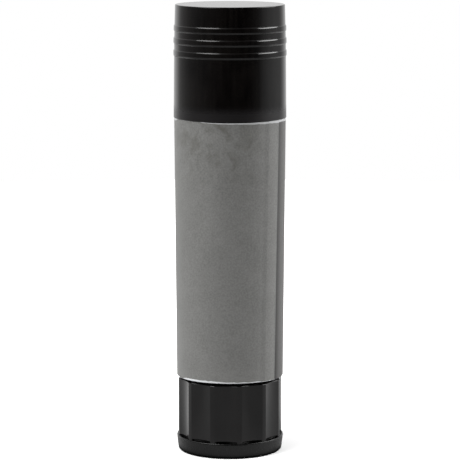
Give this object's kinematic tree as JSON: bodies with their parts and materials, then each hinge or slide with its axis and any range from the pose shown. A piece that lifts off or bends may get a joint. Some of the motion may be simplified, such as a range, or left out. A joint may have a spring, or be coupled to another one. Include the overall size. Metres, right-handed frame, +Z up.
{
  "type": "glue stick",
  "caption": "Twist-up stick of solid glue in a labelled black plastic barrel, with a push-on cap and a fluted knob that turns a screw to raise the glue.",
  "frame": {"origin": "centre of the foot's bottom face, on the surface that the stick stands on", "axes": "+Z up along the stick to the cap's top; -Y is the front that the picture shows, +X its right"},
  "size_m": [0.0214, 0.0214, 0.085],
  "materials": {
    "base_plastic": "satin black, moulded",
    "knob_plastic": "satin black, moulded",
    "screw_plastic": "plain white, moulded",
    "barrel_plastic": "smooth black, moulded",
    "label_paper": "satin grey coated paper",
    "carrier_plastic": "plain white, moulded",
    "glue": "waxy, slightly translucent off-white",
    "cap_plastic": "polished black, moulded"
  },
  "bodies": {
    "barrel": {"barrel": "barrel_plastic", "label": "label_paper"},
    "knob": {"knob": "knob_plastic", "base_disc": "base_plastic", "spindle": "screw_plastic"},
    "carrier": {"carrier": "carrier_plastic", "glue": "glue"},
    "cap": {"cap": "cap_plastic"}
  },
  "joints": [
    {"name": "knob_turn", "type": "hinge", "parent": "barrel", "child": "knob", "pos_m": [0, 0, 0], "axis": [0, 0, 1], "range_deg": [0, 4500]},
    {"name": "glue_lift", "type": "slide", "parent": "barrel", "child": "carrier", "axis": [0, 0, 1], "range_m": [0, 0.05]},
    {"name": "cap_pull", "type": "slide", "parent": "carrier", "child": "cap", "axis": [0, 0, 1], "range_m": [0, 0.03]}
  ],
  "couplings": [
    {"joint": "glue_lift", "follows": "knob_turn", "m_per_rad": 0.00063662}
  ]
}
